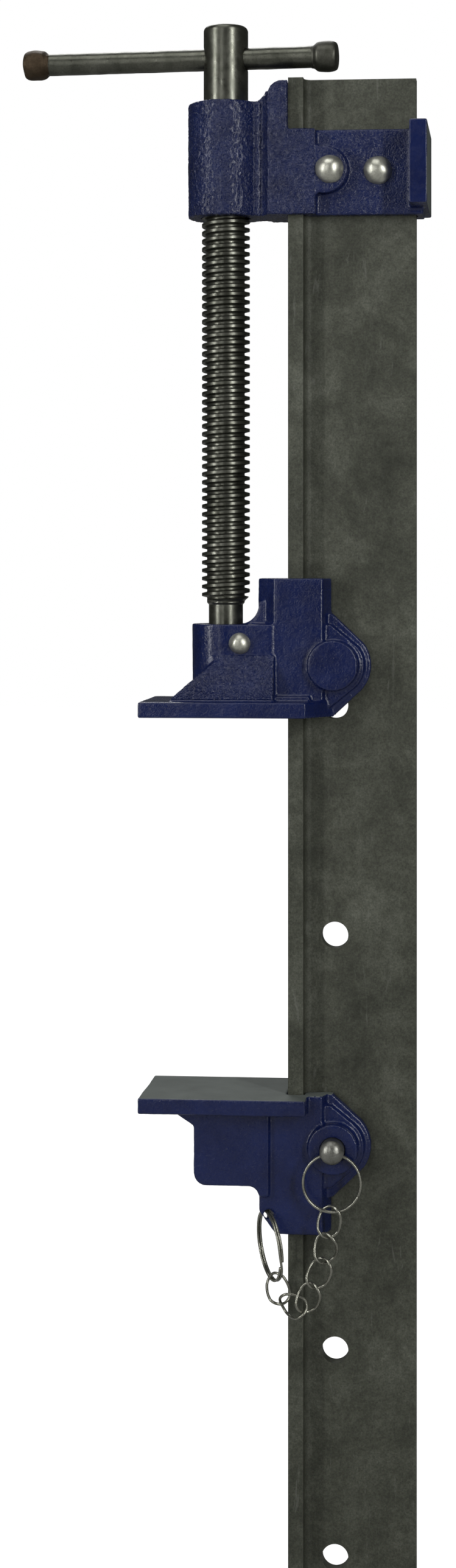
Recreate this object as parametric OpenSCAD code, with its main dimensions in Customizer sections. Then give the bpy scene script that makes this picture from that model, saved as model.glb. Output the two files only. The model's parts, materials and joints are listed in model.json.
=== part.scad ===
// T-bar sash clamp: a screw head riveted to a drilled T-bar, a jaw that the screw
// drives along the bar, and a tail slide that a chained pin locks at any hole.
// Frame: X from the screw to the bar's back edge, Y across the bar, Z up along the bar.
// Origin: the middle of the lowest adjusting hole, in the middle of the web.

/* [Bar] */
// Length of the T-bar
bar_len = 600; // [450:5:900]
// Depth of the bar from the flange's outer face to the web's back edge
bar_depth = 50; // [46:1:54]
// Thickness of the web
web_t = 6; // [5:0.5:7]
// Thickness of the flange
flange_t = 6; // [5:0.5:7]
// Width of the flange
flange_w = 18; // [16:0.5:19]
// Diameter of the adjusting holes
hole_d = 10.5; // [10:0.1:11]
// Distance between the adjusting holes
hole_pitch = 81.7; // [76:0.1:90]
// Distance between the two holes next to the sliding jaw
top_pitch = 90.5; // [82:0.1:100]

/* [Screw] */
// Outer diameter of the screw thread
screw_d = 19; // [17:0.5:20]
// Distance from the screw's axis to the middle of the adjusting holes
screw_reach = 43.6; // [41:0.1:45]
// Lead of the single-start thread
thread_lead = 3.175; // [2.5:0.025:4]
// Diameter of the plain neck below the thread
neck_d = 13.8; // [12:0.1:14]
// Diameter of the plain hub that carries the tommy bar
hub_d = 17.6; // [16:0.1:18.5]
// Diameter of the tommy bar
tommy_d = 8.6; // [7:0.1:9]
// Length of the tommy bar over its caps
tommy_len = 127; // [100:1:160]
// Turn of the tommy bar about the screw
tommy_turn = -4; // [-30:1:30]

/* [Jaws] */
// Width of the jaws across the bar
jaw_w = 44; // [40:1:50]
// Thickness of the jaw plates
jaw_t = 6.2; // [5:0.1:8]
// Height of the sliding jaw's gripping face above the origin
jaw_face_z = 331.4; // [300:0.1:331.4]
// Height of the tail slide's gripping face above its pin
tail_face_rise = 20; // [19:0.1:21]

/* [Pin and chain] */
// Diameter of the locking pin
pin_d = 9.5; // [9:0.1:10]
// Outer diameter of the split ring in the pin
ring_d = 24; // [23:0.5:26]
// Outer diameter of the split ring in the tail slide
anchor_ring_d = 28.5; // [28:0.5:29]
// Thickness of the rings' coil
ring_wire = 2.1; // [1.8:0.1:2.4]
// Outer length of a chain link
link_len = 13.2; // [13:0.1:13.4]
// Outer width of a chain link
link_w = 9.8; // [9.6:0.1:10]
// Wire of a chain link
link_wire = 1.2; // [1:0.1:1.2]

/* [Hidden] */
$fn = 64;
over = 1;                                  // how far a cutter runs past a surface

// Bar
bar_z0 = -18;                              // lower end of the bar
bar_top = bar_z0 + bar_len;
root_r = 3;                                // fillet between flange and web
flange_x = -18;                            // outer face of the flange
root_x = flange_x + flange_t;
pin_z = 2 * hole_pitch;                    // the hole that holds the locking pin
hole_z = [0, hole_pitch, pin_z, 3 * hole_pitch, 3 * hole_pitch + top_pitch];

// Head
head_z0 = bar_top - 54;                    // underside of the head
boss_h = 45;                               // height of the screw boss
boss_r = 14.8;
boss_top = head_z0 + boss_h;
saddle_half = 12.5;                        // half width of a casting around the flange
cheek_half = 8;                            // half width of a casting along the web
saddle_x = [-26, -7];                      // the head's thick part, front to back
notch_z = bar_top - 20.5;                  // floor of the notch that shows the bar's end
riser_top = bar_top - 1.5;
riser_r = 6;                               // round top edge of the riser
wall_half = 7.5;                           // half width of the wall beside the boss
foot_half = 22;                            // half width of the foot behind the bar
foot_x = [30, 37];
foot_z = [head_z0 + 2.5, head_z0 + 35];
fixed_gap = 0.1;                           // clearance of the riveted head on the bar
rivet_z = head_z0 + 17.4;
rivet_x = [-1.4, 17.2];                    // front and rear
rivet_d = 8;
rivet_head_d = 11.2;
rivet_head_h = 4;
lug_r = 9.3;
lug_x = -3.6;

// Screw
screw_x = -screw_reach;
thread_gap = 0.05;                         // running clearance between screw and head
thread_depth = 2.05;
neck_end_z = jaw_face_z + 19;
thread_z0 = jaw_face_z + 44.6;
thread_count = floor((boss_top - 1 - thread_z0) / thread_lead);
hub_z0 = boss_top - 1;
hub_top = boss_top + 31;
hub_round = 2.2;                           // round edge on top of the hub
groove_z = jaw_face_z + 28.7;              // middle of the retaining groove
retainer_d = 4;
retainer_x = screw_x + 7;
retainer_gap = 0.1;
groove_r = retainer_x - screw_x - retainer_d / 2 - retainer_gap;
groove_half = retainer_d / 2 + retainer_gap;

// Tommy bar
tommy_z = boss_top + 18.2;
tommy_gap = 0.08;
tommy_shift = -18.5;                       // the bar's middle, left of the screw's axis
cap_d = 12;
cap_len = 10.5;
cap_bore = 7.5;                            // depth of a cap's socket on the bar's end
hub_mouth_d = 12.4;                        // chamfer at the mouths of the hub's hole

// Sliding castings
slide_gap = 0.4;                           // clearance of the sliding castings on the bar
jaw_x = [-75.6, -10];
jaw_half = jaw_w / 2;
socket_r = 13.2;
socket_h = 36.2;                           // height of the socket's top over the jaw face
socket_gap = 0.1;
buttress_x = -23;                          // where the buttress ends at the upright
leg_len = 54.2;                            // from a jaw face to the end of the leg
disc_r = 9.8;
disc_half = 16;
tail_face_z = pin_z + tail_face_rise;
pin_gap = 0.1;

// Pin, rings and chain
pin_front = -23;
pin_back = 21;
pin_dome = 2.6;
eye_y = -18.2;                             // cross hole near the pin's front end
eye_drop = 1.5;                            // the cross hole lies below the pin's axis
eye_d = 3.7;
wire_r = ring_wire / 2;
ring_r = ring_d / 2 - wire_r;              // middle of the coil
anchor_r = anchor_ring_d / 2 - wire_r;
eye_half = sqrt(pow(pin_d / 2, 2) - pow(eye_drop, 2));
ring_z = pin_z - eye_drop - eye_d / 2 + wire_r + 0.1 - sqrt(ring_r * ring_r - eye_half * eye_half);
wire_gap = 0.12;                           // half the play where two wires cross
link_rod = link_wire / 2;
link_span = link_len - link_wire;          // between the middles of a link's two ends
chain_start = [0, eye_y, ring_z - ring_r + wire_r + wire_gap];
// Direction of each link: turn from straight down towards the screw, then towards the front
link_dirs = [[10, 7.5], [5, -9.5], [25, 5.5], [21.5, -4.5], [100.5, -26.5], [158.5, -19.5]];
link_rolls = [99, -106.5, 71.5, -41.5, 51, -60];
anchor_top = [-26.2, -10, tail_face_z - leg_len + 8.2];  // the coil's highest point
anchor_lean = -5.5;                        // the ring hangs a little off the vertical
anchor_turn = 24;                          // its turn from the plane across the bar
anchor_eye_d = 3.6;

// Castings' enamel and the metals
enamel = [0.10, 0.13, 0.36];
steel = [0.45, 0.46, 0.42];
dark_steel = [0.27, 0.28, 0.25];
bright = [0.75, 0.75, 0.70];

// ---- shared shapes ----

// Points of an arc about c, from angle a to angle b
function arc(c, r, a, b, n = 12) =
    [for (i = [0:n]) c + r * [cos(a + (b - a) * i / n), sin(a + (b - a) * i / n)]];

// Unit vector of a link: turned by d[0] in the bar's plane and by d[1] towards the front
function heading(d) = [-sin(d[0]) * cos(d[1]), -sin(d[1]), -cos(d[0]) * cos(d[1])];

// From a link's end to the point where it crosses the next link: more where the chain bends
function reach(n) = n <= 0 || n >= len(link_dirs) ? link_rod + wire_gap
    : (link_rod + wire_gap) / sqrt((1 + heading(link_dirs[n - 1]) * heading(link_dirs[n])) / 2);

// Where chain link n starts
function joint_at(n) = n == 0 ? chain_start
    : joint_at(n - 1) + (link_span - reach(n - 1) - reach(n)) * heading(link_dirs[n - 1]);

// An outline in X and Z, as thick as 2 * half across the bar
module slab(half) {
    rotate([90, 0, 0]) translate([0, 0, -half]) linear_extrude(2 * half) children();
}

// A cylinder along Y between y0 and y1
module cross_rod(x, z, d, y0, y1) {
    translate([x, y0, z]) rotate([-90, 0, 0]) cylinder(d = d, h = y1 - y0);
}

// A low dome on the plane z = 0
module dome(d, h) {
    ball = (d * d / 4 + h * h) / (2 * h);
    intersection() {
        translate([0, 0, h - ball]) sphere(r = ball);
        translate([-d, -d, 0]) cube([2 * d, 2 * d, 2 * h]);
    }
}

// A rivet along Y with a dome at each side
module rivet(x, z, d, head_d, head_h, half) {
    cross_rod(x, z, d, -half, half);
    for (side = [-1, 1])
        translate([x, side * half, z]) rotate([-side * 90, 0, 0]) dome(head_d, head_h);
}

// The bar's T section, grown by gap
module bar_section(gap) {
    translate([flange_x - gap, -flange_w / 2 - gap])
        square([flange_t + 2 * gap, flange_w + 2 * gap]);
    translate([flange_x, -web_t / 2 - gap]) square([bar_depth + gap, web_t + 2 * gap]);
    for (side = [-1, 1]) mirror([0, side < 0 ? 1 : 0])
        difference() {
            translate([root_x - 0.5, 0]) square([root_r + 0.5, web_t / 2 + root_r]);
            translate([root_x + root_r, web_t / 2 + root_r]) circle(r = root_r - gap);
        }
}

// The way for the bar through a casting
module bar_slot(gap, z0, z1) {
    translate([0, 0, z0 - over]) linear_extrude(z1 - z0 + 2 * over) bar_section(gap);
}

// Cheeks beside the web: the casting's gripping face is at z = 0 and the casting above it
module cheeks(face_to_pin) {
    tip = arc([0, face_to_pin], 14.5, -42, 35);
    slab(cheek_half)
        polygon(concat([[-14, 0], [-0.6, 0]], tip, [[-0.6, 40.4], [-14, 40.4]]));
    // thicker round the pin, drafted towards the edge
    slab(cheek_half + 2.5)
        polygon(concat([[-14, 4], [-1, 4]], arc([0, face_to_pin], 12, -42, 35),
                       [[-1, 36], [-14, 36]]));
    cross_rod(0, face_to_pin, 2 * disc_r, -disc_half, disc_half);
}

// Jaw plate above its gripping face at z = 0
module jaw_plate() {
    translate([jaw_x[0], -jaw_half, 0]) cube([jaw_x[1] - jaw_x[0], jaw_w, jaw_t]);
}

// A split ring's coil about X, Y or Z
module coil(radius) {
    rotate_extrude($fn = 96) translate([radius, 0]) circle(r = wire_r, $fn = 24);
}

// ---- the pieces ----

module t_bar() color(dark_steel) difference() {
    translate([0, 0, bar_z0]) linear_extrude(bar_len) bar_section(0);
    for (z = hole_z) cross_rod(0, z, hole_d, -web_t, web_t);
    for (x = rivet_x) cross_rod(x, rivet_z, rivet_d, -web_t, web_t);
}

// Thick part of the head: it wraps the flange, and a riser hugs the flange's outer face
module head_saddle() {
    slab(saddle_half) polygon(concat(
        [[saddle_x[0], head_z0], [saddle_x[1], head_z0], [saddle_x[1], notch_z],
         [flange_x, notch_z], [flange_x, riser_top]],
        arc([saddle_x[0] + riser_r, riser_top - riser_r], riser_r, 90, 180)));
    slab(saddle_half) translate([lug_x, rivet_z]) circle(r = lug_r);
    // the lug's fillets
    slab(saddle_half) difference() {
        translate([saddle_x[1] - 1, rivet_z - 12]) square([4, 24]);
        for (side = [-1, 1])
            translate([saddle_x[1] + 3.2, rivet_z + side * 11.4]) circle(r = 3.2);
    }
}

// Wall between the boss and the thick part, with its rib
module head_wall() {
    slab(wall_half) polygon(concat(
        [[screw_x, head_z0], [saddle_x[0] + 2, head_z0], [saddle_x[0] + 2, boss_top + 4]],
        arc([saddle_x[0] - 6, boss_top + 5], 5, -10, -90), [[screw_x, boss_top]]));
    for (side = [-1, 1])
        translate([-30.6, side * (wall_half - 1), head_z0]) cylinder(r = 2.3, h = boss_h);
    translate([0, 0, head_z0]) linear_extrude(boss_h + 2)
        polygon([[saddle_x[0] + 1, -saddle_half], [saddle_x[0] + 1, saddle_half],
                 [saddle_x[0] - 2.6, wall_half], [saddle_x[0] - 2.6, -wall_half]]);
}

module head_casting() color(enamel) difference() {
    union() {
        translate([screw_x, 0, head_z0]) cylinder(r = boss_r, h = boss_h);
        head_wall();
        head_saddle();
        slab(cheek_half) translate([saddle_x[1] - 1, head_z0])
            square([foot_x[1] - saddle_x[1] - 1, notch_z - head_z0]);
        translate([foot_x[0], -foot_half, foot_z[0]])
            cube([foot_x[1] - foot_x[0], 2 * foot_half, foot_z[1] - foot_z[0]]);
    }
    bar_slot(fixed_gap, head_z0, bar_top);
    translate([screw_x, 0, head_z0 - over])
        cylinder(d = screw_d + 2 * thread_gap, h = boss_h + 2 * over);
    for (x = rivet_x)
        cross_rod(x, rivet_z, rivet_d, -saddle_half - over, saddle_half + over);
}

module head_rivet_front() color(bright)
    rivet(rivet_x[0], rivet_z, rivet_d, rivet_head_d, rivet_head_h, saddle_half);

module head_rivet_rear() color(bright)
    rivet(rivet_x[1], rivet_z, rivet_d, rivet_head_d, rivet_head_h, cheek_half);

// One thread ridge as points of radius and height
function ridge(z) = let (r = screw_d / 2, p = thread_lead)
    [[r - thread_depth, z + 0.10 * p], [r, z + 0.28 * p],
     [r, z + 0.66 * p], [r - thread_depth, z + 0.84 * p]];

module screw_spindle() color(dark_steel) difference() {
    translate([screw_x, 0, 0]) rotate_extrude($fn = 64) polygon(concat(
        [[0, neck_end_z], [neck_d / 2 - 0.8, neck_end_z], [neck_d / 2, neck_end_z + 0.8],
         [neck_d / 2, groove_z - groove_half], [groove_r, groove_z - groove_half],
         [groove_r, groove_z + groove_half], [neck_d / 2, groove_z + groove_half],
         [neck_d / 2, thread_z0]],
        [for (i = [0:thread_count - 1]) each ridge(thread_z0 + i * thread_lead)],
        [[screw_d / 2 - thread_depth, hub_z0], [hub_d / 2, hub_z0]],
        arc([hub_d / 2 - hub_round, hub_top - hub_round], hub_round, 0, 90, 6),
        [[0, hub_top]]));
    on_tommy_axis() translate([0, 0, -hub_d])
        cylinder(d = tommy_d + 2 * tommy_gap, h = 2 * hub_d);
    for (side = [0, 180]) on_tommy_axis() rotate([0, side, 0]) translate([0, 0, hub_d / 2 - 2.2])
        cylinder(d1 = tommy_d, d2 = hub_mouth_d + 1, h = 2.7);
}

// Places its children with Z along the tommy bar and the origin on the screw's axis
module on_tommy_axis() {
    translate([screw_x, 0, tommy_z]) rotate([0, 0, tommy_turn]) rotate([0, 90, 0]) children();
}

module tommy_bar() color(dark_steel)
    on_tommy_axis() translate([0, 0, tommy_shift - tommy_len / 2 + cap_len - cap_bore])
        cylinder(d = tommy_d, h = tommy_len - 2 * (cap_len - cap_bore));

// A cap with its closed end at z = 0 and its mouth at z = cap_len
module tommy_cap(d) {
    r = d / 2;
    difference() {
        rotate_extrude() polygon(concat(
            [[0, 0]], arc([r - 2, 2], 2, -90, 0, 6), [[r, cap_len - 3.2]],
            [[tommy_d / 2 + 0.6, cap_len - 0.8], [tommy_d / 2 + 0.6, cap_len], [0, cap_len]]));
        translate([0, 0, cap_len - cap_bore]) cylinder(d = tommy_d, h = cap_bore + over);
    }
}

module tommy_cap_left() color([0.27, 0.22, 0.18])
    on_tommy_axis() translate([0, 0, tommy_shift - tommy_len / 2]) tommy_cap(cap_d - 0.4);

module tommy_cap_right() color(dark_steel)
    on_tommy_axis() translate([0, 0, tommy_shift + tommy_len / 2])
        mirror([0, 0, 1]) tommy_cap(cap_d);

// Buttress of the screw socket: it slopes out towards the jaw plate
module socket_buttress() intersection() {
    slab(jaw_half) polygon([[-64, jaw_t - 1], [-63.5, jaw_t + 0.8], [screw_x, 24.2],
                            [buttress_x, 24.2], [buttress_x, jaw_t - 1]]);
    rotate([90, 0, 90]) translate([0, 0, -70]) linear_extrude(60)
        polygon([[-17.5, 0], [17.5, 0], [17.5, 11.6], [13, 24.2], [-13, 24.2], [-17.5, 11.6]]);
}

// Upright that wraps the flange, with drafted sides
module upright(z1) {
    linear_extrude(z1) polygon([[-30, -6], [-23, -saddle_half], [-4.1, -saddle_half],
        [-1.2, -4], [-1.2, 4], [-4.1, saddle_half], [-23, saddle_half], [-30, 6]]);
}

module sliding_jaw() color(enamel) difference() {
    translate([0, 0, jaw_face_z]) union() {
        jaw_plate();
        linear_extrude(jaw_t) polygon([[jaw_x[1] - 1, -jaw_half], [jaw_x[1], -jaw_half],
            [-0.6, -cheek_half], [-0.6, cheek_half], [jaw_x[1], jaw_half],
            [jaw_x[1] - 1, jaw_half]]);
        translate([screw_x, 0, 1]) cylinder(r = socket_r, h = socket_h - 1);
        translate([screw_x, -13, 1]) cube([20, 26, socket_h - 1]);
        // fillet from the socket up to the upright
        slab(9) difference() {
            translate([-37, socket_h - 1]) square([10, 10]);
            translate([-37.5, socket_h + 8]) circle(r = 8);
        }
        socket_buttress();
        upright(leg_len);
        translate([-22, -15, 0]) cube([13, 30, jaw_t + 2]);
        cheeks(20.2);
    }
    bar_slot(slide_gap, jaw_face_z, jaw_face_z + leg_len);
    translate([screw_x, 0, neck_end_z - socket_gap])
        cylinder(d = neck_d + 2 * socket_gap, h = jaw_face_z + leg_len - neck_end_z);
    cross_rod(retainer_x, groove_z, retainer_d, -socket_r - over, socket_r + over);
}

module spindle_retaining_pin() color(bright)
    rivet(retainer_x, groove_z, retainer_d, 8.5, 3.2, 13);

// Block under the tail slide's plate, built upside down with the gripping face at z = 0
module tail_block() {
    slab(14.5) polygon(concat([[-54.5, jaw_t - 1], [-25, jaw_t - 1], [-25, 39.2], [-29, 39.2]],
                              arc([-33, 39.2], 4, 0, -90), arc([-49.5, 30.2], 5, 90, 180)));
    // sloping gusset under the plate
    slab(14.5) polygon([[-63.2, jaw_t - 1], [-63.2, jaw_t], [-54.5, 12], [-50, 12],
                        [-50, jaw_t - 1]]);
}

module tail_slide() color(enamel) difference() {
    translate([0, 0, tail_face_z]) mirror([0, 0, 1]) union() {
        jaw_plate();
        tail_block();
        // the leg that wraps the flange, with its cut corner
        intersection() {
            linear_extrude(leg_len) polygon([[-29, -saddle_half], [-4.4, -saddle_half],
                [-1.2, -4], [-1.2, 4], [-4.4, saddle_half], [-29, saddle_half]]);
            slab(jaw_half) polygon([[-29, 0], [0, 0], [0, leg_len], [-22.7, leg_len],
                                    [-29, leg_len - 9]]);
        }
        cheeks(tail_face_rise);
    }
    bar_slot(slide_gap, tail_face_z - leg_len, tail_face_z);
    cross_rod(0, pin_z, pin_d + 2 * pin_gap, -disc_half - over, disc_half + over);
    anchor_hole();
}

module locking_pin() color(steel) difference() {
    union() {
        cross_rod(0, pin_z, pin_d, pin_front + pin_dome, pin_back - 2);
        translate([0, pin_front + pin_dome, pin_z]) rotate([90, 0, 0]) dome(pin_d, pin_dome);
        translate([0, pin_back - 2, pin_z]) rotate([-90, 0, 0])
            cylinder(d1 = pin_d, d2 = pin_d - 2.4, h = 2);
    }
    translate([-pin_d, eye_y, pin_z - eye_drop]) rotate([0, 90, 0])
        cylinder(d = eye_d, h = 2 * pin_d);
}

module pin_ring() color(bright)
    translate([0, eye_y, ring_z]) rotate([90, 0, 0]) coil(ring_r);

// Places its children in the anchor ring's plane, X and Z, with the origin at its top
module at_anchor() {
    translate(anchor_top) rotate([0, anchor_lean, 0]) rotate([0, 0, 90 + anchor_turn]) children();
}

// Hole across the leg's corner for the anchor ring
module anchor_hole() {
    at_anchor() translate([-13, 0, -0.4]) rotate([0, 90, 0]) cylinder(d = anchor_eye_d, h = 26);
}

module anchor_ring() color(bright)
    at_anchor() translate([0, 0, -anchor_r]) rotate([90, 0, 0]) coil(anchor_r);

// One chain link: an oval of wire, in its own X and Z, from one joint to the next
module chain_link(n) {
    bow = link_w / 2 - link_rod;
    side = link_len / 2 - link_w / 2;
    h = heading(link_dirs[n]);
    mid = joint_at(n) + h * (link_span / 2 - reach(n));
    translate(mid) rotate([0, acos(h[2]), atan2(h[1], h[0])])
        rotate([0, 0, link_rolls[n]]) {
            for (end = [0, 180]) rotate([end, 0, 0]) translate([0, 0, side]) rotate([90, 0, 0])
                rotate_extrude(angle = 180, $fn = 48) translate([bow, 0])
                    circle(r = link_rod, $fn = 24);
            for (s = [-1, 1]) translate([s * bow, 0, -side])
                cylinder(r = link_rod, h = 2 * side, $fn = 24);
        }
}

module chain_link_1() color(bright) chain_link(0);
module chain_link_2() color(bright) chain_link(1);
module chain_link_3() color(bright) chain_link(2);
module chain_link_4() color(bright) chain_link(3);
module chain_link_5() color(bright) chain_link(4);
module chain_link_6() color(bright) chain_link(5);

t_bar();
head_casting();
head_rivet_front();
head_rivet_rear();
screw_spindle();
tommy_bar();
tommy_cap_left();
tommy_cap_right();
sliding_jaw();
spindle_retaining_pin();
tail_slide();
locking_pin();
pin_ring();
anchor_ring();
chain_link_1();
chain_link_2();
chain_link_3();
chain_link_4();
chain_link_5();
chain_link_6();
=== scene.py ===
"""Looks of a T-bar sash clamp: enamelled sand castings, an oiled screw, a mill-scale bar,
split rings and a twisted-link chain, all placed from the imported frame."""
import bpy
import bmesh
import json
import math
import numpy as np
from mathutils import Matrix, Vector, noise


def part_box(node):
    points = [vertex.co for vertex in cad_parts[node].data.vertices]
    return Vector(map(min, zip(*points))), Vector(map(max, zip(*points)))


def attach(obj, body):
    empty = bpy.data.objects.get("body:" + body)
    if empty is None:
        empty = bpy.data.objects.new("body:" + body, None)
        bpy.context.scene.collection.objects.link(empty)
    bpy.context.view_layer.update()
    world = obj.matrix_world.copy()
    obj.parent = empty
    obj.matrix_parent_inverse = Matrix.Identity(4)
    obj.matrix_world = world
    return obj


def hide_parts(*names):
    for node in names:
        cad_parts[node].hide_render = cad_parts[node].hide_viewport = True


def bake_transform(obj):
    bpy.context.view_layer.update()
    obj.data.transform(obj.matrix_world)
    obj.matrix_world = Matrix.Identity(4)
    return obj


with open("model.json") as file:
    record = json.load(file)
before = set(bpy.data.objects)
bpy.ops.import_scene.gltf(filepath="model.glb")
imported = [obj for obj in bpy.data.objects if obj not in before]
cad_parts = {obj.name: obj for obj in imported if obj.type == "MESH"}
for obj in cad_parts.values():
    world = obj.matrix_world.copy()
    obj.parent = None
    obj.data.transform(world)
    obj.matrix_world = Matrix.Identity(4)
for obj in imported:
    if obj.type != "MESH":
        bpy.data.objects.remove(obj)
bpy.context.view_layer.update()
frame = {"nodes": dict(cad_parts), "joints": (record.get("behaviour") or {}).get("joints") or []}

MM = 0.001
SENSOR = 36.0
RING_WIRE = 0.50 * MM          # radius of the wire
LINK_WIRE = 0.56 * MM
SKIN_VOXEL, SKIN_PASSES = 0.55 * MM, 5
BAR_EDGE = 0.45 * MM

# ---------------------------------------------------------------- places read from the frame

bar_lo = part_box("t_bar")[0]
head_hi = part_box("head_casting")[1]
jaw_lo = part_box("sliding_jaw")[0]
tail_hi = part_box("tail_slide")[1]
screw_lo, screw_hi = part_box("screw_spindle")
screw_axis = (screw_lo + screw_hi) / 2
joint = {j["name"]: j for j in frame["joints"]}


# ---------------------------------------------------------------- camera, light and floor

def make_camera():
    """The photograph's viewpoint: level, right of the clamp, a little above its middle."""
    data = bpy.data.cameras.new("camera")
    data.lens, data.sensor_width = 56.63, SENSOR
    data.shift_x, data.shift_y = -0.06, -0.1404
    camera = bpy.data.objects.new("camera", data)
    camera.location = (0.0759, -0.9714, 0.3913)
    camera.rotation_euler = (math.radians(90), 0, math.radians(4.78))
    bpy.context.collection.objects.link(camera)
    bpy.context.scene.camera = camera


def area_light(name, place, target, size, watts):
    data = bpy.data.lights.new(name, "AREA")
    data.shape = "RECTANGLE"
    data.size, data.size_y = size
    data.energy = watts
    lamp = bpy.data.objects.new(name, data)
    lamp.location = place
    lamp.rotation_euler = (Vector(target) - Vector(place)).to_track_quat("-Z", "Y").to_euler()
    bpy.context.collection.objects.link(lamp)


def make_lights():
    """Tall softboxes in front give the streaks on round steel; the others fill."""
    middle = (0, 0, 0.32)
    area_light("key_softbox", (-0.48, -1.54, 0.75), middle, (0.1, 1.2), 3)
    area_light("left_softbox", (-1.25, -0.95, 0.75), middle, (0.14, 1.2), 12)
    area_light("right_softbox", (1.0, -1.22, 0.8), middle, (0.14, 1.2), 15)
    area_light("top_softbox", (-0.2, -0.5, 1.6), middle, (0.9, 0.7), 5)
    area_light("back_softbox", (-0.4, 1.1, 1.7), middle, (0.8, 0.8), 9)
    world = bpy.data.worlds.new("studio")
    world.use_nodes = True
    tree = world.node_tree
    tree.nodes.clear()
    out = tree.nodes.new("ShaderNodeOutputWorld")
    seen = tree.nodes.new("ShaderNodeBackground")
    glow = tree.nodes.new("ShaderNodeBackground")
    mix = tree.nodes.new("ShaderNodeMixShader")
    path = tree.nodes.new("ShaderNodeLightPath")
    seen.inputs["Color"].default_value = (1, 1, 1, 1)
    glow.inputs["Color"].default_value = (0.92, 0.96, 0.9, 1)
    glow.inputs["Strength"].default_value = 0.055
    tree.links.new(path.outputs["Is Camera Ray"], mix.inputs["Fac"])
    tree.links.new(glow.outputs[0], mix.inputs[1])
    tree.links.new(seen.outputs[0], mix.inputs[2])
    tree.links.new(mix.outputs[0], out.inputs["Surface"])
    bpy.context.scene.world = world
    bpy.context.scene.view_settings.view_transform = "Standard"


def make_floor():
    half = 6.0
    z = bar_lo.z
    mesh = bpy.data.meshes.new("floor")
    mesh.from_pydata([(-half, -half, z), (half, -half, z), (half, half, z), (-half, half, z)],
                     [], [(0, 1, 2, 3)])
    floor = bpy.data.objects.new("floor", mesh)
    bpy.context.collection.objects.link(floor)
    floor.data.materials.append(floor_paper())


# ---------------------------------------------------------------- material helpers

class Shade:
    """A node-based Principled material, built by short calls."""

    def __init__(self, name):
        self.material = bpy.data.materials.new(name)
        self.material.use_nodes = True
        self.tree = self.material.node_tree
        self.shader = self.tree.nodes["Principled BSDF"]
        coords = self.tree.nodes.new("ShaderNodeTexCoord")
        self.place = coords.outputs["Object"]

    def node(self, kind, **sockets):
        made = self.tree.nodes.new(kind)
        for key, value in sockets.items():
            made.inputs[key.replace("_", " ")].default_value = value
        return made

    def link(self, a, b):
        self.tree.links.new(a, b)

    def stretched(self, scale):
        mapping = self.node("ShaderNodeMapping", Scale=scale)
        self.link(self.place, mapping.inputs["Vector"])
        return mapping.outputs["Vector"]

    def noise(self, scale, detail=4.0, rough=0.55, where=None, distortion=0.0):
        made = self.node("ShaderNodeTexNoise", Scale=scale, Detail=detail, Roughness=rough,
                         Distortion=distortion)
        self.link(where or self.place, made.inputs["Vector"])
        return made.outputs["Fac"]

    def ramp(self, value, stops):
        made = self.tree.nodes.new("ShaderNodeValToRGB")
        ramp = made.color_ramp
        while len(ramp.elements) < len(stops):
            ramp.elements.new(0.5)
        for element, (at, colour) in zip(ramp.elements, stops):
            element.position = at
            shade = colour if isinstance(colour, tuple) else (colour,) * 3
            element.color = (*shade, 1)
        self.link(value, made.inputs["Fac"])
        return made.outputs["Color"]

    def mix(self, fac, a, b, blend="MIX"):
        made = self.tree.nodes.new("ShaderNodeMix")
        made.data_type = "RGBA"
        made.blend_type = blend
        for socket, value in ((made.inputs[0], fac), (made.inputs[6], a), (made.inputs[7], b)):
            if hasattr(value, "is_output"):
                self.link(value, socket)
            elif isinstance(value, tuple):
                socket.default_value = (*value, 1)
            else:
                socket.default_value = value
        return made.outputs[2]

    def math(self, operation, a, b=0.0):
        made = self.tree.nodes.new("ShaderNodeMath")
        made.operation = operation
        for socket, value in zip(made.inputs, (a, b)):
            if hasattr(value, "is_output"):
                self.link(value, socket)
            else:
                socket.default_value = value
        return made.outputs[0]

    def bump(self, height, distance, strength=1.0, under=None):
        made = self.node("ShaderNodeBump", Strength=strength, Distance=distance)
        self.link(height, made.inputs["Height"])
        if under is not None:
            self.link(under, made.inputs["Normal"])
        return made.outputs["Normal"]

    def finish(self, colour=None, rough=None, normal=None, metal=None, **fixed):
        for key, value in (("Base Color", colour), ("Roughness", rough), ("Normal", normal),
                           ("Metallic", metal)):
            if hasattr(value, "is_output"):
                self.link(value, self.shader.inputs[key])
            elif value is not None:
                self.shader.inputs[key].default_value = value
        for key, value in fixed.items():
            self.shader.inputs[key.replace("_", " ")].default_value = value
        return self.material

    def worn(self, low, high):
        """1 on sharp outer edges and 0 elsewhere, broken up by noise."""
        geometry = self.tree.nodes.new("ShaderNodeNewGeometry")
        edge = self.ramp(geometry.outputs["Pointiness"], [(low, 0.0), (high, 1.0)])
        spots = self.ramp(self.noise(420, 5, 0.65), [(0.42, 0.0), (0.60, 1.0)])
        return self.math("MULTIPLY", edge, spots)

    def attribute(self, name):
        made = self.tree.nodes.new("ShaderNodeAttribute")
        made.attribute_name = name
        return made.outputs["Fac"]


def floor_paper():
    """White paper that glows to camera rays only, so that it stays white far off."""
    s = Shade("floor_paper")
    tone = s.ramp(s.noise(3, 3), [(0.3, 0.46), (0.7, 0.50)])
    path = s.tree.nodes.new("ShaderNodeLightPath")
    s.link(path.outputs["Is Camera Ray"], s.shader.inputs["Emission Strength"])
    return s.finish(tone, 0.9, Emission_Color=(1, 1, 1, 1), Specular_IOR_Level=0.0)


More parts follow.
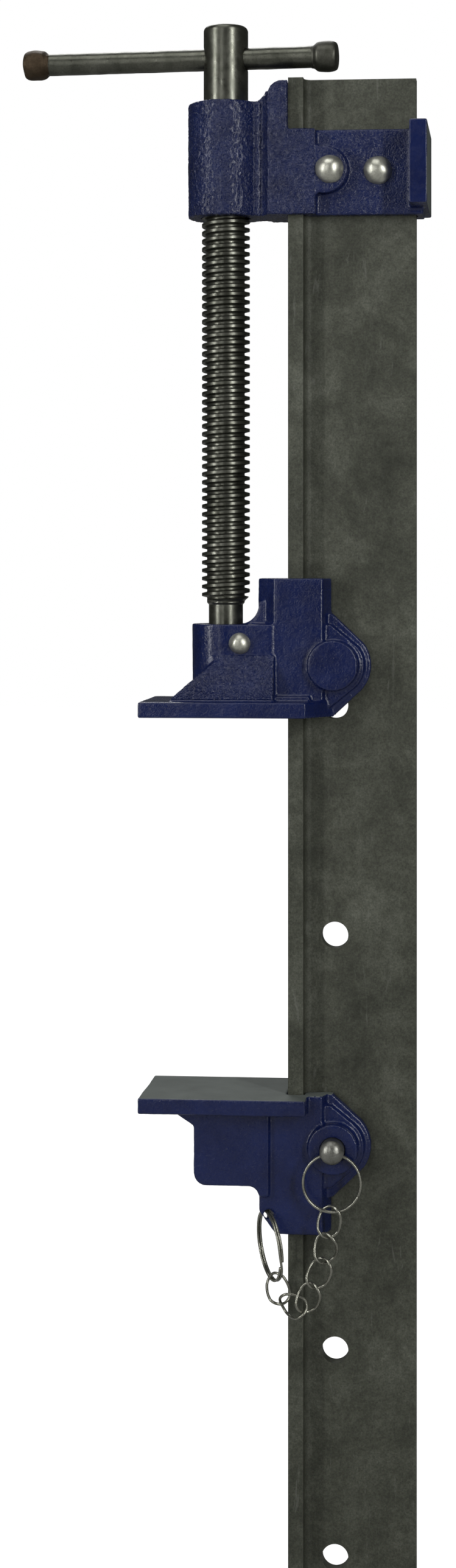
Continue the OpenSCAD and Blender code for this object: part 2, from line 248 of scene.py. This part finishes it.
def bar_steel():
    """Hot-rolled steel: olive-grey scale with soft clouds, fine pits and long rubbed scratches."""
    s = Shade("bar_steel")
    clouds = s.noise(34, 10, 0.78, distortion=0.25)
    base = s.ramp(clouds, [(0.34, (0.024, 0.026, 0.018)), (0.50, (0.046, 0.049, 0.036)),
                           (0.68, (0.088, 0.093, 0.073))])
    grain = s.ramp(s.noise(1500, 3, 0.75), [(0.33, 0.60), (0.67, 1.40)])
    base = s.mix(0.9, base, grain, "MULTIPLY")
    rubbed = s.noise(75, 7, 0.8, s.stretched((20, 20, 2.2)))
    lines = s.math("MULTIPLY", s.ramp(rubbed, [(0.57, 0.0), (0.70, 1.0)]), 0.34)
    base = s.mix(lines, base, (0.125, 0.13, 0.112))
    scuffs = s.ramp(s.noise(24, 6, 0.7, s.stretched((5, 5, 1.0)), 2.0), [(0.62, 0.0), (0.67, 1.0)])
    base = s.mix(s.math("MULTIPLY", scuffs, 0.25), base, (0.16, 0.165, 0.145))
    rough = s.ramp(clouds, [(0.3, 0.62), (0.7, 0.48)])
    pits = s.bump(s.noise(1300, 6, 0.75), 0.00014, 0.9)
    normal = s.bump(rubbed, 0.00008, 0.6, pits)
    return s.finish(base, rough, normal, 0.25, Specular_IOR_Level=0.35)


def enamel():
    """Thick dark blue enamel over a sand-cast skin; the mesh says where the skin is leathery."""
    s = Shade("enamel")
    base = s.ramp(s.noise(70, 5, 0.6), [(0.3, (0.0018, 0.0050, 0.036)),
                                        (0.7, (0.0042, 0.0105, 0.062))])
    # Painted sheen: fine random specks of lighter grey mixed over the enamel stand in for a sheen
    # on it
    painted_sheen = s.ramp(s.noise(1100, 5, 0.7), [(0.50, 0.0), (0.78, 1.0)])
    base = s.mix(s.math("MULTIPLY", painted_sheen, 0.10), base, (0.040, 0.048, 0.085))
    base = s.mix(s.math("MULTIPLY", s.worn(0.54, 0.64), 0.35), base, (0.16, 0.17, 0.20))
    peel = s.attribute("peel")
    rough = s.ramp(s.noise(420, 4, 0.6), [(0.3, 0.20), (0.7, 0.31)])
    folds = s.noise(760, 2, 0.45, distortion=1.4)
    height = s.math("MULTIPLY", folds, s.math("ADD", peel, 0.05))
    leather = s.bump(height, 0.0009, 1.0)
    normal = s.bump(s.noise(2600, 3, 0.6), 0.00005, 0.5, leather)
    return s.finish(base, rough, normal, 0.0, Specular_IOR_Level=0.34, Coat_Weight=0.15,
                    Coat_Roughness=0.16)


def ground_iron():
    """Bare ground cast iron: pale, matt, with straight grinding marks."""
    s = Shade("ground_iron")
    marks = s.noise(90, 6, 0.8, s.stretched((1.5, 40, 40)))
    base = s.ramp(marks, [(0.3, (0.085, 0.098, 0.092)), (0.7, (0.135, 0.152, 0.142))])
    stain = s.ramp(s.noise(60, 4, 0.6), [(0.35, 0.78), (0.7, 1.12)])
    base = s.mix(0.8, base, stain, "MULTIPLY")
    rough = s.ramp(marks, [(0.3, 0.5), (0.7, 0.62)])
    return s.finish(base, rough, s.bump(marks, 0.00006, 0.7), 0.25)


def turned_steel(name, dark, light, rough, rings, pits=0.00004, wear=1.0):
    """Steel turned on a lathe: fine rings round its axis, oily smears and small pits."""
    s = Shade(name)
    smear = s.noise(110, 6, 0.65, distortion=0.5)
    base = s.ramp(smear, [(0.3, dark), (0.72, light)])
    specks = s.ramp(s.noise(1500, 4, 0.7), [(0.34, 0.6), (0.5, 1.0)])
    base = s.mix(0.7 * wear, base, specks, "MULTIPLY")
    base = s.mix(s.math("MULTIPLY", s.worn(0.54, 0.62), 0.4 * wear), base, (0.42, 0.42, 0.38))
    gloss = s.ramp(s.noise(260, 5, 0.6), [(0.3, rough), (0.7, rough + 0.16)])
    lathe = s.noise(30, 4, 0.7, s.stretched(rings))
    fine = s.bump(s.noise(1400, 4, 0.6), pits, 0.6)
    return s.finish(base, gloss, s.bump(lathe, 0.00005, 0.5, fine), 0.9)


# ---------------------------------------------------------------- mesh helpers

def add_piece(name, mesh, body, replaced, materials):
    """Puts a finished mesh in the scene as a smooth piece that stands for a CAD node."""
    piece = bpy.data.objects.new(name, mesh)
    bpy.context.collection.objects.link(piece)
    mesh.materials.clear()
    for material in materials:
        mesh.materials.append(material)
    mesh.polygons.foreach_set("use_smooth", [True] * len(mesh.polygons))
    if body:
        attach(piece, body)
    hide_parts(replaced)
    return piece


def evaluated(mesh, *modifiers):
    """The mesh after modifiers, each given as its kind and its settings."""
    carrier = bpy.data.objects.new("carrier", mesh)
    bpy.context.collection.objects.link(carrier)
    for kind, settings in modifiers:
        modifier = carrier.modifiers.new(kind.lower(), kind)
        for key, value in settings.items():
            setattr(modifier, key, value)
    bpy.context.view_layer.update()
    depsgraph = bpy.context.evaluated_depsgraph_get()
    result = bpy.data.meshes.new_from_object(carrier.evaluated_get(depsgraph))
    bpy.data.objects.remove(carrier)
    return result


def welded(node):
    """A copy of a CAD node's mesh with its split corners joined."""
    mesh = frame["nodes"][node].data.copy()
    mesh.transform(frame["nodes"][node].matrix_world)
    shape = bmesh.new()
    shape.from_mesh(mesh)
    bmesh.ops.remove_doubles(shape, verts=shape.verts, dist=1e-6)
    shape.to_mesh(mesh)
    shape.free()
    return mesh


def rounded(node, voxel, passes):
    """A CAD node as an even skin with soft edges."""
    return evaluated(welded(node),
                     ("REMESH", {"mode": "VOXEL", "voxel_size": voxel}),
                     ("SMOOTH", {"factor": 0.5, "iterations": passes}))


def grid_mesh(name, rows, closed_rows=False, seam=None):
    """A tube from rows of points, each row a closed ring; ends are capped unless rows join up.

    seam gives the row that each row's last point runs on into, which lets a thread climb."""
    count = len(rows[0])
    verts = [point for row in rows for point in row]
    faces = []
    last = len(rows) if closed_rows else len(rows) - 1
    seam = seam or list(range(len(rows)))
    for i in range(last):
        j = (i + 1) % len(rows)
        a, b = i * count, j * count
        for k in range(count - 1):
            faces.append((a + k, a + k + 1, b + k + 1, b + k))
        faces.append((a + count - 1, seam[i] * count, seam[j] * count, b + count - 1))
    if not closed_rows:
        faces.append(tuple(range(count))[::-1])
        faces.append(tuple(range(len(verts) - count, len(verts))))
    mesh = bpy.data.meshes.new(name)
    mesh.from_pydata(verts, [], faces)
    mesh.update()
    return mesh


def basis(axis, hint):
    """Two unit vectors square to axis, the first as near as it can be to hint."""
    first = (hint - axis * hint.dot(axis)).normalized()
    return first, axis.cross(first)


def lathe(name, profile, centre, axis, segments=64, wobble=0.0, seed=0):
    """Turns (radius, height) points about an axis; wobble dents the skin a little."""
    axis = axis.normalized()
    side, across = basis(axis, Vector((0, 0, 1)) if abs(axis.z) < 0.9 else Vector((1, 0, 0)))
    rows = []
    for radius, height in profile:
        row = []
        for k in range(segments):
            turn = 2 * math.pi * k / segments
            out = side * math.cos(turn) + across * math.sin(turn)
            point = centre + axis * height + out * radius
            dent = noise.noise(point * 260 + Vector((seed, 0, 0))) * wobble
            row.append(point + out * dent * min(1, radius / 0.001))
        rows.append(row)
    return grid_mesh(name, rows)


def softened(profile, steps=6):
    """An outline through the same points with its corners cut round."""
    points = [Vector(p) for p in profile]
    result = [points[0]]
    for before, corner, after in zip(points, points[1:], points[2:]):
        a = corner.lerp(before, 0.45)
        b = corner.lerp(after, 0.45)
        for i in range(steps + 1):
            t = i / steps
            result.append(a.lerp(corner, t).lerp(corner.lerp(b, t), t))
    result.append(points[-1])
    return [tuple(p) for p in result]


def tube_along(name, path, radius, sides=12, closed=False):
    """A round wire along points; each ring is carried on from the one before, without twist."""
    count = len(path)
    side = None
    rows = []
    for i, point in enumerate(path):
        ahead = path[(i + 1) % count] if closed or i < count - 1 else point
        behind = path[i - 1] if closed or i > 0 else point
        along = (ahead - behind).normalized()
        side = side or (Vector((0, 0, 1)) if abs(along.z) < 0.9 else Vector((1, 0, 0)))
        side, across = basis(along, side)
        rows.append([point + (side * math.cos(a) + across * math.sin(a)) * radius
                     for a in (2 * math.pi * k / sides for k in range(sides))])
    return grid_mesh(name, rows, closed)


# ---------------------------------------------------------------- castings

def cast(name, node, body, zones, ground):
    """A sand casting: soft edges, a wavy skin, leathery zones, and faces ground flat."""
    mesh = rounded(node, SKIN_VOXEL, SKIN_PASSES)
    count = len(mesh.vertices)
    place = np.empty(count * 3)
    mesh.vertices.foreach_get("co", place)
    place = place.reshape(-1, 3)
    facing = np.empty(count * 3)
    mesh.vertex_normals.foreach_get("vector", facing)
    facing = facing.reshape(-1, 3)
    x, y, z = place.T / MM
    slot_way = ((abs(y) < 9.9) & (x > -19)) | ((abs(y) < 4.3) & (x > -12))
    bore = np.hypot(x - screw_axis.x / MM, y) < 10.4
    pin_way = np.hypot(x, z - pin_axis.z / MM) < 5.4
    free = ~(slot_way | bore | pin_way)
    peel = zones(x, y, z)
    relief = np.array([wave(Vector(p)) for p in place])
    amount = (relief[:, 0] * 0.16 + relief[:, 1] * 0.06 + relief[:, 2] * 0.13 * peel) * MM
    place += facing * (amount * free)[:, None]
    low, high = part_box(node)
    place = np.clip(place, tuple(low), tuple(high))
    for axis, value, side in ground:
        near = (facing[:, axis] * side > 0.8) & (abs(place[:, axis] - value) < 0.5 * MM)
        place[near, axis] = value
    mesh.vertices.foreach_set("co", place.ravel())
    skin = mesh.attributes.new("peel", "FLOAT", "POINT")
    skin.data.foreach_set("value", peel.astype(np.float32))
    mesh.update()
    piece = add_piece(name, mesh, body, node, [ENAMEL, GROUND])
    for polygon in mesh.polygons:
        for axis, value, side in ground:
            if polygon.normal[axis] * side > 0.85 and abs(polygon.center[axis] - value) < 0.25 * MM:
                polygon.material_index = 1
    return piece


def wave(point):
    """Broad waves, sand grain and leathery folds of a cast skin, each about -1 to 1."""
    fold = noise.noise(point * 620 + Vector((0, 0, noise.noise(point * 300))))
    return (noise.noise(point * 75), noise.noise(point * 330), 1 - 4 * abs(fold))


def head_zones(x, y, z):
    plate = np.clip((x + 60) / 2, 0, 1) * np.clip((31 - x) / 2, 0, 1)
    return plate * np.where(x > -7, 0.45, 1.0)


def jaw_zones(x, y, z):
    height = z - jaw_lo.z / MM
    buttress = (x < -23) & (height > 7) & (height < 24) & (abs(y) > 12.9)
    return np.where(buttress, 1.0, 0.14)


def tail_zones(x, y, z):
    return np.full(len(x), 0.12)


# ---------------------------------------------------------------- screw and tommy bar

def thread_rows(radius, depth, z0, z1, lead, segments):
    """Rings that climb as a helix, and how many rings make one turn of the thread."""
    shape = [(0.05, 0.0), (0.13, 0.06), (0.26, 0.92), (0.31, 1.0), (0.47, 1.0), (0.63, 1.0),
             (0.68, 0.92), (0.81, 0.06), (0.89, 0.0)]
    turns = int((z1 - z0) / lead) + 2
    rows = []
    for turn in range(-1, turns):
        for part, rise in shape:
            row = []
            for k in range(segments):
                round_ = k / segments
                climb = turn + part + round_
                run_in = min(1.0, max(0.0, (climb - 0.2) / 0.6))
                z = min(max(z0 + climb * lead, z0), z1)
                r = radius - depth * (1 - rise * run_in)
                angle = 2 * math.pi * round_
                row.append((screw_axis.x + r * math.cos(angle), r * math.sin(angle), z))
            rows.append(row)
    return rows, len(shape)


def ring_row(radius, z, segments):
    return [(screw_axis.x + radius * math.cos(2 * math.pi * k / segments),
             radius * math.sin(2 * math.pi * k / segments), z) for k in range(segments)]


def make_screw():
    segments = 72
    lead = math.tau * 0.000505317
    foot, top = screw_lo.z, screw_hi.z
    hub_foot = top - 32 * MM
    hub_r, crest, neck = 8.8 * MM, 9.5 * MM, 6.75 * MM
    thread_z0 = foot + 25.6 * MM
    groove_z = foot + 9.7 * MM
    lower = [(neck - 0.8 * MM, foot), (neck, foot + 0.8 * MM), (neck, groove_z - 2.2 * MM),
             (4.7 * MM, groove_z - 2.2 * MM), (4.7 * MM, groove_z + 2.2 * MM),
             (neck, groove_z + 2.2 * MM), (neck, thread_z0 - 0.8 * MM)]
    rows = [ring_row(r, z, segments) for r, z in lower]
    thread, turn = thread_rows(crest, 2.05 * MM, thread_z0, hub_foot, lead, segments)
    first, end = len(rows), len(rows) + len(thread)
    rows += thread
    rows.append(ring_row(crest - 2.05 * MM, hub_foot + 0.5 * MM, segments))
    seam = [i + turn if first <= i and i + turn < end else i for i in range(len(rows))]
    stem = grid_mesh("stem", rows, seam=seam)
    edge = 2.0 * MM
    round_top = [(hub_r - edge + edge * math.sin(a), top - edge + edge * math.cos(a))
                 for a in (math.radians(90 - 9 * i) for i in range(10))]
    profile = [(hub_r - 0.6 * MM, hub_foot), (hub_r, hub_foot + 0.6 * MM)] + round_top
    hub = lathe("hub", [(r, z) for r, z in profile] + [(0.5 * MM, top)],
                Vector((screw_axis.x, 0, 0)), Vector((0, 0, 1)), 96)
    cutter_profile = [(6.6 * MM, -hub_r - 1.2 * MM), (4.5 * MM, -hub_r + 1.0 * MM),
                      (4.5 * MM, hub_r - 1.0 * MM), (6.6 * MM, hub_r + 1.2 * MM)]
    cutter = bpy.data.objects.new("cutter", lathe("cutter", cutter_profile, tommy_centre,
                                                  tommy_axis, 48))
    bpy.context.collection.objects.link(cutter)
    hub = evaluated(hub, ("BOOLEAN", {"operation": "DIFFERENCE", "object": cutter}),
                    ("BEVEL", {"width": 0.35 * MM, "segments": 3, "limit_method": "ANGLE",
                               "angle_limit": math.radians(28)}))
    bpy.data.objects.remove(cutter)
    whole = bmesh.new()
    whole.from_mesh(stem)
    whole.from_mesh(hub)
    bmesh.ops.recalc_face_normals(whole, faces=whole.faces)
    mesh = bpy.data.meshes.new("screw")
    whole.to_mesh(mesh)
    whole.free()
    sharp_smooth(add_piece("screw_with_thread", mesh, "screw", "screw_spindle",
                           [SCREW]))


def sharp_smooth(piece, degrees=38):
    """Smooth shading that keeps edges above an angle sharp."""
    shape = bmesh.new()
    shape.from_mesh(piece.data)
    for edge in shape.edges:
        edge.smooth = len(edge.link_faces) != 2 or edge.calc_face_angle() < math.radians(degrees)
    shape.to_mesh(piece.data)
    shape.free()


def make_tommy():
    lo, hi = (-tommy_half, tommy_half)
    body = [(3.9 * MM, lo + 4 * MM), (4.3 * MM, lo + 4.4 * MM), (4.3 * MM, hi - 4.4 * MM),
            (3.9 * MM, hi - 4 * MM)]
    steps = [body[0], body[1]]
    steps += [(4.3 * MM, lo + (hi - lo) * t) for t in np.linspace(0.06, 0.94, 60)]
    steps += [body[2], body[3]]
    middle = tommy_centre + tommy_axis * tommy_shift
    add_piece("tommy_rod", lathe("rod", steps, middle, tommy_axis, 40, 0.10 * MM), "tommy",
              "tommy_bar", [ROD])
    knob = softened([(4.35, 0), (4.5, 1.1), (5.75, 2.4), (6.0, 4.2), (6.0, 7.0), (5.7, 9.3),
                     (4.9, 10.4), (0.05, 10.5)])
    for side, name, shrink, material, dent in ((-1, "tommy_cap_left", 0.97, RUSTY, 0.55),
                                               (1, "tommy_cap_right", 1.0, CAP, 0.18)):
        start = middle + tommy_axis * side * (tommy_half - 10.5 * MM)
        profile = [(r * MM * shrink, h * MM) for r, h in knob]
        add_piece(name + "_worn", lathe(name, profile, start, tommy_axis * side, 64, dent * MM,
                                        side), "tommy", name, [material])


# ---------------------------------------------------------------- rivets, pin and rings

def dome(radius, height, rim=0.35 * MM):
    """A peened head: a low ball with a small rounded rim."""
    ball = (radius ** 2 + height ** 2) / (2 * height)
    arc = math.asin(radius / ball)
    points = [(ball * math.sin(arc * t), height - ball + ball * math.cos(arc * t))
              for t in (1 - i / 14 for i in range(15))]
    points[-1] = (0.02 * MM, height)
    return [(radius - rim * 0.2, -0.3 * MM), (radius, 0.0)] + points[1:]


def make_rivet(node, body, material, radius, height):
    """Both peened heads of a rivet that passes through a casting, with its shank."""
    lo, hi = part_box(node)
    centre = (lo + hi) / 2
    whole = bmesh.new()
    for side in (-1, 1):
        start = Vector((centre.x, side * (hi.y - height), centre.z))
        half = lathe(node, dome(radius, height), start, Vector((0, side, 0)), 48, 0.30 * MM,
                     side * 3 + centre.x * 900)
        whole.from_mesh(half)
    shank = lathe(node, [(radius * 0.6, lo.y + height), (radius * 0.6, hi.y - height)],
                  Vector((centre.x, 0, centre.z)), Vector((0, 1, 0)), 32)
    whole.from_mesh(shank)
    mesh = bpy.data.meshes.new(node)
    whole.to_mesh(mesh)
    whole.free()
    add_piece(node + "_peened", mesh, body, node, [material])


def make_pin():
    mesh = rounded("locking_pin", 0.3 * MM, 4)
    add_piece("locking_pin_worn", mesh, "locking_pin", "locking_pin", [PIN])


def make_split_ring(node, body, normal, down):
    """A split ring: two turns of wire side by side, with its two ends set apart."""
    lo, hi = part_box(node)
    centre = (lo + hi) / 2
    wire = RING_WIRE
    outer = down_extent(node, centre, down)
    radius = outer - 2 * wire + 0.5 * wire
    across = normal.cross(down)
    path = []
    steps = 220
    for i in range(steps + 1):
        t = i / steps
        turn = (2 * t - 0.04 + 0.25) * 2 * math.pi * 0.985
        jump = min(1.0, max(0.0, (t - 0.47) / 0.06))
        offset = wire * (2 * jump * jump * (3 - 2 * jump) - 1)
        path.append(centre + (down * math.cos(turn) + across * math.sin(turn)) * radius
                    + normal * offset)
    add_piece(node + "_coil", tube_along(node, path, wire), body, node, [WIRE])


def down_extent(node, centre, down):
    """How far a node reaches from its centre along a direction."""
    verts = frame["nodes"][node].data.vertices
    return max((v.co - centre).dot(down) for v in verts)


# ---------------------------------------------------------------- chain

def link_frame(node):
    """A CAD link's centre, its long direction and its half length."""
    place = np.array([v.co for v in frame["nodes"][node].data.vertices])
    middle = (place.min(0) + place.max(0)) / 2
    spread = place - place.mean(0)
    along = np.linalg.svd(spread, full_matrices=False)[2][0]
    reach = spread @ along
    centre = place.mean(0) + along * (reach.max() + reach.min()) / 2
    return Vector(centre), Vector(along), (reach.max() - reach.min()) / 2


def make_chain():
    """Twisted links of plated wire."""
    names = [f"chain_link_{i + 1}" for i in range(6)]
    wire, half_width, twist = LINK_WIRE, 4.9 * MM, math.radians(38)
    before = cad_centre("pin_ring")
    for i, node in enumerate(names):
        centre, along, half = link_frame(node)
        if (before - centre).dot(along) < 0:
            along = -along
        before = centre - along * half
        front, width = basis(along, Vector((0, -1, 0)))
        bow = half_width - wire
        straight = half - half_width
        path = []
        for k in range(96):
            a = 2 * math.pi * k / 96
            across = bow * math.cos(a)
            length = bow * math.sin(a) + straight * max(-1, min(1, 3 * math.sin(a)))
            turn = twist * length / (half - wire)
            path.append(centre + along * length
                        + (width * math.cos(turn) + front * math.sin(turn)) * across)
        mesh = tube_along(node, path, wire, 12, closed=True)
        piece = add_piece(node + "_twisted", mesh, None, node, [WIRE])
        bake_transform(piece)


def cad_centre(node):
    lo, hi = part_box(node)
    return (lo + hi) / 2


# ---------------------------------------------------------------- the object

make_camera()
make_lights()
make_floor()

pin_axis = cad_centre("locking_pin")
tommy_joint = joint["tommy_slide"]
tommy_axis = Vector(tommy_joint["axis"]).normalized()
cap_left, cap_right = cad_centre("tommy_cap_left"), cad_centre("tommy_cap_right")
tommy_centre = cap_left + tommy_axis * ((screw_axis.x - cap_left.x) / tommy_axis.x)
tommy_half = (cap_right - cap_left).length / 2 + 5.25 * MM
tommy_shift = ((cap_left + cap_right) / 2 - tommy_centre).dot(tommy_axis)

ENAMEL = enamel()
GROUND = ground_iron()
BAR = bar_steel()
RIVET = turned_steel("rivet_steel", (0.34, 0.34, 0.29), (0.58, 0.58, 0.51), 0.3, (1, 1, 1))
SCREW = turned_steel("screw_steel", (0.065, 0.067, 0.053), (0.14, 0.142, 0.12), 0.24, (1, 1, 60),
                     0.00002, 0.4)
ROD = turned_steel("rod_steel", (0.055, 0.057, 0.045), (0.12, 0.122, 0.10), 0.25, (60, 1, 1))
CAP = turned_steel("cap_steel", (0.045, 0.046, 0.036), (0.10, 0.10, 0.085), 0.38, (60, 1, 1))
RUSTY = turned_steel("cap_steel_rusty", (0.035, 0.024, 0.014), (0.085, 0.062, 0.040), 0.5,
                     (60, 1, 1), 0.00025)
PIN = turned_steel("pin_steel", (0.15, 0.15, 0.135), (0.30, 0.30, 0.27), 0.3, (1, 60, 1), 0.0001)
WIRE = turned_steel("wire_steel", (0.17, 0.17, 0.14), (0.33, 0.33, 0.28), 0.18, (1, 1, 1),
                    0.00001, 0.15)

cast("head_enamelled", "head_casting", "frame", head_zones, [(0, head_hi.x, 1)])
cast("sliding_jaw_enamelled", "sliding_jaw", "sliding_jaw", jaw_zones, [(2, jaw_lo.z, -1)])
cast("tail_slide_enamelled", "tail_slide", "tail_slide", tail_zones, [(2, tail_hi.z, 1)])
make_screw()
make_tommy()
make_rivet("head_rivet_front", "frame", RIVET, 5.6 * MM, 4.0 * MM)
make_rivet("head_rivet_rear", "frame", RIVET, 5.6 * MM, 4.0 * MM)
make_rivet("spindle_retaining_pin", "sliding_jaw", RIVET, 4.25 * MM, 3.2 * MM)
make_pin()
make_split_ring("pin_ring", "pin_ring", Vector((0, -1, 0)), Vector((0, 0, -1)))
swing = joint["anchor_ring_swing"]
ring_down = (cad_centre("anchor_ring") - Vector(swing["pos_m"])).normalized()
make_split_ring("anchor_ring", "anchor_ring", Vector(swing["axis"]).cross(ring_down).normalized(),
                ring_down)
make_chain()

bar = frame["nodes"]["t_bar"]
bar.data.materials.clear()
bar.data.materials.append(BAR)
weld = bar.modifiers.new("weld", "WELD")
weld.merge_threshold = 1e-6
flat = bar.modifiers.new("flat faces", "DECIMATE")
flat.decimate_type, flat.angle_limit = "DISSOLVE", math.radians(1)
bevel = bar.modifiers.new("soft edges", "BEVEL")
bevel.width, bevel.segments = BAR_EDGE, 3
bevel.limit_method, bevel.angle_limit = "ANGLE", math.radians(30)
bar.data.polygons.foreach_set("use_smooth", [False] * len(bar.data.polygons))
